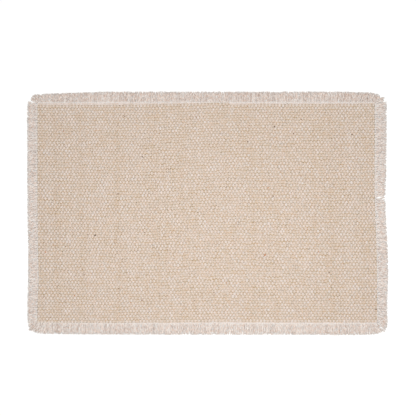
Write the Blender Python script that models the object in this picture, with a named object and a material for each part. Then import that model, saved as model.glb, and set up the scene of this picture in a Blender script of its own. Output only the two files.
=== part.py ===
"""Fabric placemat: a flat, coarse cotton weave whose four edges are ravelled into short fringes.

Units are metres with +Z up. The mat lies on the plane z = 0, its long side runs along X, and the
origin is under the middle of its bounding box. The cloth is one flat sheet. The warp yarns run
along Y and end in the back and front fringes, the weft yarns run along X and end in the left and
right fringes, and each fringe is one comb with a tooth for every tuft of yarn ends.
"""

import math
import random
from collections import namedtuple

import bmesh
import bpy
from mathutils import Vector

MM = 0.001

# Driving sizes
MAT_LENGTH = 480.0 * MM  # along X, from strand tips to strand tips
MAT_WIDTH = 323.5 * MM  # along Y, from strand tips to strand tips
CLOTH_THICKNESS = 2.8 * MM  # two warp yarns with a weft yarn between them
RIM_ROUNDING = 0.4 * MM  # the soft edge of the cloth, above and below
SEAT_GAP = 0.3 * MM  # between the cloth and each fringe

# Yarn spacing
WARP_PITCH = 2.26 * MM
WEFT_PITCH = 3.56 * MM
WARPS_PER_TUFT = 2
WEFTS_PER_TUFT = 1

# Fringe section
FRINGE_ROOT_THICKNESS = 2.2 * MM
FRINGE_TIP_THICKNESS = 1.2 * MM
ROOT_BAND = 3.0 * MM  # how far the tufts still lie close together
TUFT_GAP_AT_ROOT = 0.4 * MM
TUFT_GAP_AT_TIP = 1.2 * MM
RAGGED = 0.035  # how much a strand's length varies, as a share of it
CORNER_MARGIN = 0.3 * MM  # from the cloth's corner to the first tuft
LOST_TUFT = 18.2 * MM  # where along the right side a weft yarn's end has broken off
SEED = 41

COTTON_CLOTH = "#D6C3B3"
COTTON_STRANDS = "#DACCC4"
COTTON_ROUGHNESS = 0.92

# A station on one side of the mat, in millimetres and degrees: `along` is X on the back and front
# and Y on the left and right, `edge` is how far the cloth's edge is from the mat's centre line,
# `strand` is how long the fringe is there, and `lean` is its slant, positive towards +along.
# The first and last stations of a side are the cloth's corners, where the fringe fans out.
Station = namedtuple("Station", "along edge strand lean")

BACK = (
    Station(-224.5, 145.3, 11.2, -65),
    Station(-222.8, 145.3, 14.0, -50),
    Station(-219.5, 145.3, 14.2, -32),
    Station(-213.0, 145.1, 13.2, -14),
    Station(-208.0, 145.0, 13.3, -7),
    Station(-187.0, 144.8, 14.2, 0),
    Station(-139.0, 145.2, 15.5, 2),
    Station(-20.0, 145.5, 15.3, 0),
    Station(83.0, 145.2, 15.6, -2),
    Station(163.0, 144.9, 16.1, 6),
    Station(197.0, 145.2, 15.5, 15),
    Station(213.0, 145.4, 15.2, 18),
    Station(219.0, 145.4, 14.2, 30),
    Station(222.0, 145.4, 13.4, 62),
)
FRONT = (
    Station(-224.7, 145.0, 15.8, -45),
    Station(-220.0, 145.0, 15.8, -24),
    Station(-212.0, 145.0, 15.9, -9),
    Station(-150.0, 145.3, 15.8, 0),
    Station(-60.0, 145.6, 16.1, 4),
    Station(20.0, 145.2, 16.4, -3),
    Station(110.0, 145.8, 15.9, 2),
    Station(170.0, 146.0, 16.0, 0),
    Station(212.0, 145.9, 16.0, 8),
    Station(220.0, 145.7, 15.8, 20),
    Station(225.3, 145.6, 15.7, 36),
)
LEFT = (
    Station(-145.0, 224.7, 15.4, -41),
    Station(-141.0, 224.7, 14.5, -28),
    Station(-134.0, 224.7, 14.2, -13),
    Station(-118.0, 224.5, 14.0, 0),
    Station(-86.0, 222.9, 14.7, 2),
    Station(-43.0, 223.9, 13.4, -6),
    Station(6.0, 224.5, 15.0, -24),
    Station(40.0, 224.5, 14.2, -8),
    Station(100.0, 224.5, 14.2, 0),
    Station(145.3, 224.5, 14.4, 5),
)
RIGHT = (
    Station(-145.6, 225.3, 17.4, -42),
    Station(-143.0, 225.3, 17.2, -36),
    Station(-139.0, 225.3, 16.4, -28),
    Station(-134.0, 225.3, 14.9, -14),
    Station(-118.0, 225.3, 14.1, 0),
    Station(-86.0, 225.3, 14.4, 3),
    Station(-50.0, 224.6, 14.6, -3),
    Station(-12.0, 223.1, 13.9, 0),
    Station(20.0, 222.0, 13.9, 7),
    Station(50.0, 222.0, 15.2, -4),
    Station(118.0, 222.0, 15.6, 2),
    Station(145.4, 222.0, 15.8, 5),
)

WARP_TUFT = WARP_PITCH * WARPS_PER_TUFT
WEFT_TUFT = WEFT_PITCH * WEFTS_PER_TUFT

# A side of the mat: `out` points away from the cloth, `reach` is how far its longest strand gets
# from the centre, `tuft` is the spacing of its tufts and `missing` says where a tuft has been lost.
Side = namedtuple("Side", "name stations along out reach tuft missing")

SIDES = (
    Side("fringe_back", BACK, (1, 0), (0, 1), MAT_WIDTH / 2, WARP_TUFT, ()),
    Side("fringe_front", FRONT, (1, 0), (0, -1), MAT_WIDTH / 2, WARP_TUFT, ()),
    Side("fringe_left", LEFT, (0, 1), (-1, 0), MAT_LENGTH / 2, WEFT_TUFT, ()),
    Side("fringe_right", RIGHT, (0, 1), (1, 0), MAT_LENGTH / 2, WEFT_TUFT, (LOST_TUFT,)),
)


def between(stations, column, along):
    """The value of one column of a side's stations at a place along it, in the table's units."""
    place = along / MM
    for near, far in zip(stations, stations[1:]):
        if place <= far.along or far is stations[-1]:
            share = (place - near.along) / (far.along - near.along)
            return getattr(near, column) + share * (getattr(far, column) - getattr(near, column))


def on_mat(side, along, outward):
    """The point of the mat that is `along` a side and `outward` from the centre line."""
    return Vector(side.along) * along + Vector(side.out) * outward


def edge_point(side, along, gap=0.0):
    """A point on the cloth's edge, or a gap outside it."""
    return on_mat(side, along, between(side.stations, "edge", along) * MM + gap)


def strand_point(side, along, share):
    """The point that is a share of the way out along the strand that leaves the cloth at `along`."""
    length = between(side.stations, "strand", along) * MM * share
    lean = math.radians(between(side.stations, "lean", along))
    root = edge_point(side, along, SEAT_GAP)
    return root + on_mat(side, length * math.sin(lean), length * math.cos(lean))


def tuft_centres(side):
    """Evenly spaced tufts between the cloth's corners, and their exact spacing."""
    first = side.stations[0].along * MM + CORNER_MARGIN
    last = side.stations[-1].along * MM - CORNER_MARGIN
    count = round((last - first) / side.tuft)
    pitch = (last - first) / count
    return [first + pitch * (number + 0.5) for number in range(count)], pitch


def place(vertex, side, along, share):
    """Puts a vertex on the upper side of the fringe, which comes down towards the strand tips."""
    vertex.co.xy = strand_point(side, along, share)
    vertex.co.z = FRINGE_ROOT_THICKNESS + share * (FRINGE_TIP_THICKNESS - FRINGE_ROOT_THICKNESS)


def root_band(sheet, side, centres, pitch):
    """The strip along the cloth where the tufts lie close together: a face for each tuft and a
    narrow one between each two. Returns the outer left and right vertex of every tuft."""
    bmesh.ops.create_grid(sheet, x_segments=2 * len(centres) - 1, y_segments=1, size=1)
    in_rows = sorted(sheet.verts, key=lambda vertex: (vertex.co.y > 0, vertex.co.x))
    inner, outer = in_rows[: len(in_rows) // 2], in_rows[len(in_rows) // 2 :]
    beside = (pitch - TUFT_GAP_AT_ROOT) / 2
    for column, vertex in enumerate(inner):
        along = centres[column // 2] + (beside if column % 2 else -beside)
        share = ROOT_BAND / (between(side.stations, "strand", along) * MM)
        place(vertex, side, along, 0.0)
        place(outer[column], side, along, share)
    return list(zip(outer[::2], outer[1::2]))


def grow_tuft(sheet, side, corners, centre, pitch, chance):
    """Extrudes a tuft's outer edge to its ragged tips, and returns the two tip vertices."""
    edge = sheet.edges.get(corners)
    grown = bmesh.ops.extrude_edge_only(sheet, edges=[edge])["geom"]
    tips = [part for part in grown if isinstance(part, bmesh.types.BMVert)]
    tips.sort(key=lambda vertex: vertex.co.xy.dot(Vector(side.along)))
    beside = (pitch - TUFT_GAP_AT_TIP) / 2
    for tip, along in zip(tips, (centre - beside, centre + beside)):
        place(tip, side, along, 1 + chance.uniform(-RAGGED, RAGGED))
    return tips


def close_underneath(sheet):
    """Turns the upper side into a solid that lies flat on z = 0."""
    lowered = bmesh.ops.extrude_face_region(sheet, geom=sheet.faces[:])["geom"]
    for part in lowered:
        if isinstance(part, bmesh.types.BMVert):
            part.co.z = 0.0
    bmesh.ops.recalc_face_normals(sheet, faces=sheet.faces[:])


def comb(side, chance):
    """One fringe. Its longest strand sets the size of the mat, so all its tips move out together
    until it does."""
    sheet = bmesh.new()
    centres, pitch = tuft_centres(side)
    lost = {min(centres, key=lambda centre: abs(centre - where)) for where in side.missing}
    tips = []
    for corners, centre in zip(root_band(sheet, side, centres, pitch), centres):
        if centre not in lost:
            tips += grow_tuft(sheet, side, corners, centre, pitch, chance)
    out = Vector(side.out)
    short_of_size = side.reach - max(tip.co.xy.dot(out) for tip in tips)
    for tip in tips:
        tip.co.xy += out * short_of_size
    close_underneath(sheet)
    mesh = bpy.data.meshes.new(side.name)
    sheet.to_mesh(mesh)
    sheet.free()
    return mesh


def cloth_outline():
    """Once round the cloth: the back and front rows hold its corners."""
    back, front, left, right = SIDES
    outline = [edge_point(back, station.along * MM) for station in back.stations]
    outline += [edge_point(right, station.along * MM) for station in reversed(right.stations[1:-1])]
    outline += [edge_point(front, station.along * MM) for station in reversed(front.stations)]
    outline += [edge_point(left, station.along * MM) for station in left.stations[1:-1]]
    return outline


def linear(hex_colour):
    """A colour written as in a picture, as the linear values that a shader takes."""
    channels = [int(hex_colour[start : start + 2], 16) / 255 for start in (1, 3, 5)]
    return [c / 12.92 if c <= 0.04045 else ((c + 0.055) / 1.055) ** 2.4 for c in channels] + [1.0]


def cotton(name, hex_colour):
    """Undyed cotton yarn: matt all over."""
    material = bpy.data.materials.new(name)
    material.use_nodes = True
    shader = material.node_tree.nodes["Principled BSDF"]
    shader.inputs["Base Color"].default_value = linear(hex_colour)
    shader.inputs["Roughness"].default_value = COTTON_ROUGHNESS
    shader.inputs["Metallic"].default_value = 0.0
    return material


def flat_cloth(name, outline):
    """A sheet of this outline with softly rounded rims, centred on its own thickness."""
    curve = bpy.data.curves.new(name, "CURVE")
    curve.dimensions = "2D"
    curve.fill_mode = "BOTH"
    curve.extrude = CLOTH_THICKNESS / 2 - RIM_ROUNDING
    curve.bevel_depth = RIM_ROUNDING
    curve.bevel_resolution = 0
    curve.offset = -RIM_ROUNDING
    spline = curve.splines.new("POLY")
    spline.points.add(len(outline) - 1)
    for point, corner in zip(spline.points, outline):
        point.co = (corner.x, corner.y, 0, 1)
    spline.use_cyclic_u = True
    return curve


def add_piece(name, data, material, collection, parent):
    piece = bpy.data.objects.new(name, data)
    piece.parent = parent
    data.materials.append(material)
    collection.objects.link(piece)
    return piece


def build():
    for leftover in list(bpy.data.objects):
        bpy.data.objects.remove(leftover)
    collection = bpy.data.collections.new("fabric_placemat")
    bpy.context.scene.collection.children.link(collection)
    mat = bpy.data.objects.new("placemat", None)
    collection.objects.link(mat)

    woven = cotton("woven cotton", COTTON_CLOTH)
    cloth = add_piece("cloth", flat_cloth("cloth", cloth_outline()), woven, collection, mat)
    cloth.location.z = CLOTH_THICKNESS / 2

    chance = random.Random(SEED)
    for side in SIDES:
        ravelled = cotton("ravelled cotton, " + side.name, COTTON_STRANDS)
        add_piece(side.name, comb(side, chance), ravelled, collection, mat)


build()
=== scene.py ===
"""Fabric placemat: the looks of a flat mat of coarse undyed cotton, woven of thick warp and weft yarns
and ravelled on all four sides into a short fringe.

Units are metres with +Z up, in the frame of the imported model. The mat lies on z = 0, its warp yarns
run along Y and its weft yarns along X. Every yarn, ply and stitch is modelled as a straight closed
tube, repeated side by side, and each tube is then laid along a route of its own.
"""

import math
from collections import namedtuple
from itertools import product

import bpy
import numpy as np
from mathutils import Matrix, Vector


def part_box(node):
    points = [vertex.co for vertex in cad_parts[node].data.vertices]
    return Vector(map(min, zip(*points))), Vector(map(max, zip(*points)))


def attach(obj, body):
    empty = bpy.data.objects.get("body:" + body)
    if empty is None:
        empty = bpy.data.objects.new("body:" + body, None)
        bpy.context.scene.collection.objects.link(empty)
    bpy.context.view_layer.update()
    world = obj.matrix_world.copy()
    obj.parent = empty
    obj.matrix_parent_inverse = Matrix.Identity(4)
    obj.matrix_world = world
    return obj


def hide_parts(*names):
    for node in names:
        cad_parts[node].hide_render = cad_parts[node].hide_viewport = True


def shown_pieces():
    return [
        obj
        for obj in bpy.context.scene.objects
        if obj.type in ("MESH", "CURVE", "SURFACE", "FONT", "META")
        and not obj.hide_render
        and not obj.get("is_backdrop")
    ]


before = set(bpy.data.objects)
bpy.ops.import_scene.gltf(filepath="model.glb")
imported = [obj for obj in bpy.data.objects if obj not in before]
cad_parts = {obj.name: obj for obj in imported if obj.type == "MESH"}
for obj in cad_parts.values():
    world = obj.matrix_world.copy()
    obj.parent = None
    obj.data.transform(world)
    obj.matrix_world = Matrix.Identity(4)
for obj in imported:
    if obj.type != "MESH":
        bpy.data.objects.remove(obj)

bl_info = {
    "name": "Fabric placemat",
    "version": (1, 0, 0),
    "blender": (4, 5, 0),
    "location": "3D View > Sidebar > Placemat",
    "description": "Weaves a ravelled cotton placemat yarn by yarn on the packed model",
    "category": "Object",
}

MM = 0.001
ALONG_X, ALONG_Y, UP = Vector((1, 0, 0)), Vector((0, 1, 0)), Vector((0, 0, 1))
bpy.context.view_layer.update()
CLOTH_LOW, CLOTH_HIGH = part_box("cloth")
HALF_LENGTH = (CLOTH_HIGH.x - CLOTH_LOW.x) / 2
HALF_WIDTH = (CLOTH_HIGH.y - CLOTH_LOW.y) / 2
CLOTH_THICKNESS = CLOTH_HIGH.z
MIDDLE = CLOTH_THICKNESS / 2  # the height that the weft lies at


def table(kind, *rows):
    return tuple(kind(*row) for row in rows)


# The cloth's outline and its fringe. In millimetres and degrees: `along` is X on the back and front
# and Y on the left and right, `edge` is how far the cloth's edge is from the mat's centre line,
# `strand` is how long the fringe is there, and `lean` is its slant, positive towards +along.
Station = namedtuple("Station", "along edge strand lean")

BACK = table(
    Station,
    (-224.5, 145.3, 11.2, -65), (-222.8, 145.3, 14.0, -50), (-219.5, 145.3, 14.2, -32),
    (-213.0, 145.1, 13.2, -14), (-208.0, 145.0, 13.3, -7), (-187.0, 144.8, 14.2, 0),
    (-139.0, 145.2, 15.5, 2), (-20.0, 145.5, 15.3, 0), (83.0, 145.2, 15.6, -2), (163.0, 144.9, 16.1, 6),
    (197.0, 145.2, 15.5, 15), (213.0, 145.4, 15.2, 18), (219.0, 145.4, 14.2, 30),
    (220.8, 145.4, 13.7, 52), (221.3, 145.4, 17.6, 66), (222.0, 145.4, 11.5, 84),
)
FRONT = table(
    Station,
    (-224.7, 145.0, 16.3, -45), (-220.0, 145.0, 16.3, -24), (-212.0, 145.0, 16.4, -9),
    (-150.0, 145.3, 16.3, 0), (-60.0, 145.6, 16.6, 4), (20.0, 145.2, 16.9, -3), (110.0, 145.8, 16.4, 2),
    (170.0, 146.0, 16.5, 0), (212.0, 145.9, 16.5, 8), (220.0, 145.7, 16.3, 20),
    (224.5, 145.6, 16.8, 43), (225.3, 145.6, 4.5, 48),
)
LEFT = table(
    Station,
    (-145.0, 224.7, 15.4, -41), (-141.0, 224.7, 14.5, -28), (-134.0, 224.7, 14.2, -13),
    (-118.0, 224.5, 14.0, 0), (-86.0, 222.9, 14.7, 2), (-43.0, 223.9, 13.4, -6),
    (6.0, 224.5, 15.0, -24), (40.0, 224.5, 14.2, -8), (100.0, 224.5, 14.2, 0), (128.0, 224.5, 14.3, 4),
    (139.2, 224.5, 14.4, 12), (145.3, 224.5, 12.8, 26),
)
RIGHT = table(
    Station,
    (-145.6, 225.3, 17.4, -52), (-143.0, 225.3, 17.2, -43), (-139.0, 225.3, 16.4, -28),
    (-134.0, 225.3, 14.9, -14), (-118.0, 225.3, 14.1, 0), (-86.0, 225.3, 15.3, 3),
    (-50.0, 224.6, 15.5, -3), (-12.0, 223.1, 14.8, 0), (20.0, 222.0, 14.8, 7), (50.0, 222.0, 16.1, -4),
    (118.0, 222.0, 16.5, 2), (136.0, 222.0, 16.7, 3), (145.4, 222.0, 16.7, 9),
)

# How close the yarns lie in each part of the cloth: millimetres from the centre line, and between
# yarns. Only the proportions count, because the yarns always fill the cloth.
Band = namedtuple("Band", "place pitch")

WARP_BANDS = table(
    Band,
    (-202, 2.26), (-142, 2.08), (-82, 2.31), (37, 2.30), (97, 2.27), (157, 2.35),
)
WEFT_BANDS = table(
    Band,
    (-136, 3.47), (-109, 3.56), (-56, 3.66), (-3, 3.56), (24, 3.68), (50, 3.65), (77, 3.54),
    (103, 3.45),
)


def linear(hex_colour):
    """A colour written as in a picture, as the three linear values that a shader takes."""
    channels = [int(hex_colour[start : start + 2], 16) / 255 for start in (1, 3, 5)]
    return [c / 12.92 if c <= 0.04045 else ((c + 0.055) / 1.055) ** 2.4 for c in channels]


def length_property(name, description, millimetres):
    return bpy.props.FloatProperty(
        name=name, description=description, default=millimetres * MM, unit="LENGTH", precision=5
    )


def count_property(name, description, count, least):
    return bpy.props.IntProperty(name=name, description=description, default=count, min=least)


def share_property(name, description, share):
    return bpy.props.FloatProperty(name=name, description=description, default=share, subtype="FACTOR")


def colour_property(name, description, hex_colour):
    return bpy.props.FloatVectorProperty(
        name=name, description=description, default=linear(hex_colour), subtype="COLOR", min=0, max=1
    )


class PlacematWeave(bpy.types.PropertyGroup):
    """The yarns of the woven cloth."""

    warp_count: count_property("Warp yarns", "Yarns side by side across the mat", 199, least=4)
    weft_count: count_property("Weft yarns", "Rows from the front of the mat to its back", 82, least=4)
    float_width: length_property("Float width", "A warp yarn where it lies over a weft yarn", 2.9)
    float_height: length_property("Float height", "Thickness of a warp yarn on a weft yarn", 1.05)
    waist_width: length_property("Waist width", "A warp yarn where it dives between two weft yarns", 2.5)
    waist_height: length_property("Waist height", "Thickness of a diving warp yarn", 1.0)
    weft_width: length_property("Weft width", "A weft yarn, pressed flat between the warp yarns", 3.5)
    weft_height: length_property("Weft height", "Thickness of a weft yarn", 0.96)
    weft_wave: length_property("Weft wave", "How far a weft yarn gives way to each warp yarn", 0.42)
    sway: length_property("Sway", "How far the warp yarns bow to the right below the middle", 1.7)
    skew_back: length_property("Skew, back", "How far rows rise at the right and sink at the left", 2.4)
    skew_front: length_property("Skew, front", "The same at the front of the mat", 1.0)
    drift: length_property("Drift", "How far the yarns of one place stray together", 0.3)
    warp_wander: length_property("Warp wander", "How far a warp yarn strays from its line", 0.16)
    weft_wander: length_property("Weft wander", "How far a weft yarn strays from its line", 0.2)
    slub: share_property("Slub", "Unevenness of a yarn's thickness", 0.06)


class PlacematFringe(bpy.types.PropertyGroup):
    """The ravelled yarn ends."""

    warp_plies: count_property("Warp plies", "Strands that a warp yarn's end opens into", 4, least=1)
    weft_plies: count_property("Weft plies", "Strands that a weft yarn's end opens into", 6, least=1)
    ply_width: length_property("Ply width", "One strand of the fringe", 1.15)
    ply_height: length_property("Ply height", "Thickness of a strand", 0.8)
    crimp: length_property("Crimp", "Waves that a strand keeps from the weave", 0.34)
    pile: length_property("Pile", "How high the strands lie over each other", 1.0)
    ragged: share_property("Ragged", "Unevenness of the strands' length", 0.055)


class PlacematColours(bpy.types.PropertyGroup):
    """Undyed cotton, and what is in it."""

    # Each deep colour gives its yarns' own deeper tone and also their painted shade: between plies, in
    # troughs and on lower plies.
    warp_light: colour_property("Warp", "Cleanest fibre of the warp yarns", "#DFD5D2")
    warp_deep: colour_property("Warp, deep", "Between the plies of the warp yarns", "#C3AB91")
    weft_light: colour_property("Weft", "Cleanest fibre of the weft yarns", "#D5C8BE")
    weft_deep: colour_property("Weft, deep", "Between the plies of the weft yarns", "#BEAA94")
    strand_light: colour_property("Fringe", "Cleanest fibre of the ravelled ends", "#EBE4DF")
    strand_deep: colour_property("Fringe, deep", "Between the fibres of the ravelled ends", "#B79E90")
    thread: colour_property("Thread", "The stay stitching", "#F4EFEA")
    husk: colour_property("Husk", "Dark bits of seed coat", "#52433D")
    straw: colour_property("Straw", "Orange bits of stalk", "#C57C45")
    paper: colour_property("Paper", "The pale floor", "#FCFCFB")


PROPERTY_GROUPS = {
    "placemat_weave": PlacematWeave,
    "placemat_fringe": PlacematFringe,
    "placemat_colours": PlacematColours,
}


# ---- Tubes laid along routes ----

# Tubes that lie side by side before they are laid: `start` is the first tube's near end, `run` and
# `across` are unit vectors along a tube and from tube to tube, `step` and `pitch` are the spacing of
# a tube's rings and of the tubes, and `girth` is what a tube measures round once it is laid.
Rank = namedtuple("Rank", "name start run across tubes rings step pitch sides radius girth")

MERGE_DISTANCE = 0.01 * MM
TANGENT_STEP = 0.002  # share of a route, either side of a ring, that its direction is taken from
BAKE_GUTTER = 0.06  # share of a tube's strip of the bake map that stays empty
BAKE_END = 0.01  # share of a strip's length that holds an end's closing face
BAKE_CLOSING = 0.4  # how far that face reaches from the middle of its place there
RIPPLE_WAVES = 12


def repeat(piece, offset, count, merge):
    """Repeats a piece along an offset with an applied Array."""
    array = piece.modifiers.new("Array", "ARRAY")
    array.use_relative_offset = False
    array.use_constant_offset = True
    array.constant_offset_displace = offset
    array.count = count
    array.use_merge_vertices = merge
    array.merge_threshold = MERGE_DISTANCE
    bpy.ops.object.modifier_apply(modifier=array.name)


def straight_tubes(rank):
    """Models one closed tube of even rings and repeats it side by side."""
    bpy.ops.object.select_all(action="DESELECT")
    bpy.ops.mesh.primitive_cylinder_add(
        vertices=rank.sides,
        radius=rank.radius,
        depth=rank.step,
        end_fill_type="NOTHING",
        location=rank.start + rank.run * rank.step / 2,
        rotation=rank.run.to_track_quat("Z", "Y").to_euler(),
    )
    piece = bpy.context.object
    piece.name = piece.data.name = rank.name
    bpy.ops.object.transform_apply(location=True, rotation=True, scale=True)
    repeat(piece, rank.run * rank.step, rank.rings - 1, merge=True)
    bpy.ops.object.mode_set(mode="EDIT")
    bpy.ops.mesh.select_all(action="SELECT")
    bpy.ops.mesh.fill_holes(sides=rank.sides)
    bpy.ops.object.mode_set(mode="OBJECT")
    repeat(piece, rank.across * rank.pitch, rank.tubes, merge=False)
    bpy.ops.object.shade_smooth()
    return piece


def read(items, field, width, kind=float):
    values = np.empty(len(items) * width, kind)
    items.foreach_get(field, values)
    return values.reshape(-1, width) if width > 1 else values


def addresses(piece, rank):
    """For each vertex: the tube that it is on, the ring of the tube, and its angle round the tube
    from the side that is to the right as seen from the tube's start."""
    points = read(piece.data.vertices, "co", 3) - np.array(rank.start)
    tube = np.rint(points @ np.array(rank.across) / rank.pitch).astype(int)
    ring = np.rint(points @ np.array(rank.run) / rank.step).astype(int)
    centres = np.outer(tube * rank.pitch, np.array(rank.across))
    right = np.array(rank.run.cross(UP))
    turn = np.arctan2(points[:, 2], (points - centres) @ right)
    return tube, ring, turn


def unit(vectors):
    return vectors / np.linalg.norm(vectors, axis=1, keepdims=True)


def lay_tubes(rank, route, section):
    """Makes a rank of tubes and lays each along its own route. route gives the places of shares of
    the way along tubes, and section the half width and half height of the tubes there. Gives the
    piece and, for each vertex, its tube, its share of the way along it and its angle round it."""
    piece = straight_tubes(rank)
    tube, ring, turn = addresses(piece, rank)
    share = ring / (rank.rings - 1)
    centre = route(tube, share)
    ahead = unit(route(tube, share + TANGENT_STEP) - route(tube, share - TANGENT_STEP))
    right = unit(np.cross(ahead, np.array(UP)))
    above = np.cross(right, ahead)
    half_width, half_height = section(tube, share)
    widest = np.abs(np.cos(turn)).max()
    points = centre + right * (half_width * np.cos(turn) / widest)[:, None]
    points += above * (half_height * np.sin(turn))[:, None]
    points[:, 2] = np.maximum(points[:, 2], 0.0)
    piece.data.vertices.foreach_set("co", points.ravel())
    piece.data.update()
    add_bake_map(piece, rank, tube, share, turn)
    return piece, tube, share, turn


def write_attribute(piece, name, kind, values):
    made = piece.data.attributes.new(name, kind, "POINT")
    field = "vector" if kind == "FLOAT_VECTOR" else "value"
    made.data.foreach_set(field, np.ascontiguousarray(values, np.float32).ravel())


def mark_yarn(piece, turn, metres, tone):
    """What the cotton material reads: the place round and along the yarn, and its tone, which carries
    painted light and shade as well as its own.
    """
    write_attribute(piece, "yarn", "FLOAT_VECTOR", np.stack([np.cos(turn), np.sin(turn), metres], axis=1))
    write_attribute(piece, "tone", "FLOAT", tone)


def add_bake_map(piece, rank, tube, share, turn):
    """Gives each tube an upright strip of the bake map, in as many banks as keep the strips in
    proportion."""
    mesh = piece.data
    length = rank.step * (rank.rings - 1)
    banks = max(1, round(math.sqrt(rank.tubes * rank.girth / length)))
    columns = math.ceil(rank.tubes / banks)
    corners = read(mesh.loops, "vertex_index", 1, np.int32)
    sizes = read(mesh.polygons, "loop_total", 1, np.int32)
    face = np.repeat(np.arange(len(sizes)), sizes)
    slot = np.rint(turn * rank.sides / math.tau + rank.sides).astype(int) % rank.sides
    slot = slot[corners]
    highest = np.zeros(len(sizes), int)
    np.maximum.at(highest, face, slot)
    slot = np.where((slot == 0) & (highest[face] == rank.sides - 1), rank.sides, slot)
    wide, long = slot / rank.sides, BAKE_END + share[corners] * (1 - 2 * BAKE_END)
    closing = (sizes != 4)[face]
    wide = np.where(closing, 0.5 + 0.5 * np.cos(turn[corners]), wide)
    outward = np.where(share[corners] < 0.5, -1, 1) * BAKE_END * (
        0.5 + BAKE_CLOSING * np.sin(turn[corners])
    )
    long = long + np.where(closing, outward, 0)
    bank, column = np.divmod(tube[corners], columns)
    places = np.stack(
        [
            (column + BAKE_GUTTER / 2 + wide * (1 - BAKE_GUTTER)) / columns,
            (bank + BAKE_GUTTER / 2 + long * (1 - BAKE_GUTTER)) / banks,
        ],
        axis=1,
    )
    layer = mesh.uv_layers.new(name="OFBake")
    layer.uv.foreach_set("vector", places.astype(np.float32).ravel())


def unevenness(seed, tubes, wavelengths):
    """A smooth chance variation along each tube, mostly from -1.5 to 1.5: a function of the tubes
    and of metres along them. wavelengths are in millimetres."""
    phases = np.random.default_rng(seed).uniform(0, math.tau, (tubes, len(wavelengths)))
    waves = np.array(wavelengths) * MM

    def amount(tube, metres):
        swings = np.sin(math.tau * metres[:, None] / waves + phases[tube])
        return swings.sum(axis=1) * math.sqrt(2 / len(waves))

    return amount


def ripples(seed, shortest, longest):
    """A smooth chance variation over the cloth, mostly from -1.5 to 1.5: a function of X and Y, the
    sum of waves in all directions. shortest and longest are their wavelengths."""
    chance = np.random.default_rng(seed)
    waves = np.geomspace(shortest, longest, RIPPLE_WAVES)
    heading = chance.uniform(0, math.tau, RIPPLE_WAVES)
    phases = chance.uniform(0, math.tau, RIPPLE_WAVES)

    def amount(x, y):
        swings = 0.0
        for wave, angle, phase in zip(waves, heading, phases):
            swings = swings + np.sin(
                math.tau * (x * math.cos(angle) + y * math.sin(angle)) / wave + phase
            )
        return swings * math.sqrt(2 / RIPPLE_WAVES)

    return amount


def smooth(share):
    share = np.clip(share, 0, 1)
    return share * share * (3 - 2 * share)


# ---- The cloth in plan ----

SPACING_STEPS = 2001
EDGE_HOLD = 6  # power of the share across at which the sway and the drift die out towards the edges
SWAY_LEAN = 0.7  # the warp yarns bow most where share up the cloth ** this is a half
SKEW_MIDDLE_BACK = 0.0 * MM  # where along X a slanting row crosses its own straight line
SKEW_MIDDLE_FRONT = -80.0 * MM  # and the same at the front
SKEW_REACH = 66.0 * MM  # how far to either side of it they slant

# How far the yarns of one place stray together, along X and along Y, for each unit of their drift.
drift_across = ripples(41, 9 * MM, 60 * MM)
drift_up = ripples(42, 9 * MM, 60 * MM)


def station(stations, column, along):
    """One column of a side's stations at places along it, in the table's units."""
    places = [row.along * MM for row in stations]
    return np.interp(along, places, [getattr(row, column) for row in stations])


def edge(stations, along):
    """How far the cloth's edge is from the mat's centre line at places along a side."""
    return station(stations, "edge", along) * MM


def on_cloth(across, up):
    """The place in plan at a share of the way across the cloth, from 0 at the left to 1 at the
    right, and up it, from 0 at the front to 1 at the back."""
    weave = bpy.context.scene.placemat_weave
    near_x, near_y = HALF_LENGTH * (2 * across - 1), HALF_WIDTH * (2 * up - 1)
    left, right = -edge(LEFT, near_y), edge(RIGHT, near_y)
    front, back = -edge(FRONT, near_x), edge(BACK, near_x)
    inside = np.clip(up, 0, 1)
    freedom = 1 - np.abs(2 * across - 1) ** EDGE_HOLD
    bow = np.sin(math.pi * inside**SWAY_LEAN) * freedom
    skew = weave.skew_front + (weave.skew_back - weave.skew_front) * inside
    middle = SKEW_MIDDLE_FRONT + (SKEW_MIDDLE_BACK - SKEW_MIDDLE_FRONT) * inside
    x = left + (right - left) * across + weave.sway * bow
    y = front + (back - front) * up + skew * np.tanh((near_x - middle) / SKEW_REACH)
    freedom = np.clip(freedom * (1 - np.abs(2 * up - 1) ** EDGE_HOLD), 0, 1)
    x = x + weave.drift * freedom * drift_across(near_x, near_y)
    y = y + weave.drift * freedom * drift_up(near_x, near_y)
    return x, y


def share_of(bands, half_size, number, count):
    """How far across or up the cloth a yarn lies, from its number out of count. It holds between
    two yarns and beyond the last one too."""
    even = (number + 0.5) / count
    inside = np.clip(even, 0, 1)
    shares = np.linspace(0, 1, SPACING_STEPS)
    places, pitches = zip(*bands)
    pitch = np.interp((2 * shares - 1) * half_size, np.array(places) * MM, pitches)
    passed = np.concatenate([[0], np.cumsum(2 / (pitch[1:] + pitch[:-1]))])
    return np.interp(inside, passed / passed[-1], shares) + even - inside


def warp_share(yarn):
    return share_of(WARP_BANDS, HALF_LENGTH, yarn, bpy.context.scene.placemat_weave.warp_count)


def weft_share(row):
    return share_of(WEFT_BANDS, HALF_WIDTH, row, bpy.context.scene.placemat_weave.weft_count)


# ---- Materials ----


def plug(tree, node, inputs):
    """Gives a node's sockets, by name or number, a value or another node's output."""
    for socket, value in inputs.items():
        if isinstance(value, bpy.types.NodeSocket):
            tree.links.new(value, node.inputs[socket])
        else:
            node.inputs[socket].default_value = value


def add_node(tree, kind, inputs=None, **settings):
    """Adds a node with its settings, and plugs its inputs."""
    made = tree.nodes.new(kind)
    for name, value in settings.items():
        setattr(made, name, value)
    plug(tree, made, inputs or {})
    return made


def maths(tree, operation, *values, **settings):
    inputs = dict(enumerate(values))
    return add_node(tree, "ShaderNodeMath", inputs, operation=operation, **settings).outputs[0]


def noise(tree, place, scale, detail=2.0):
    inputs = {"Vector": place, "Scale": scale, "Detail": detail}
    return add_node(tree, "ShaderNodeTexNoise", inputs).outputs["Fac"]


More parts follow.
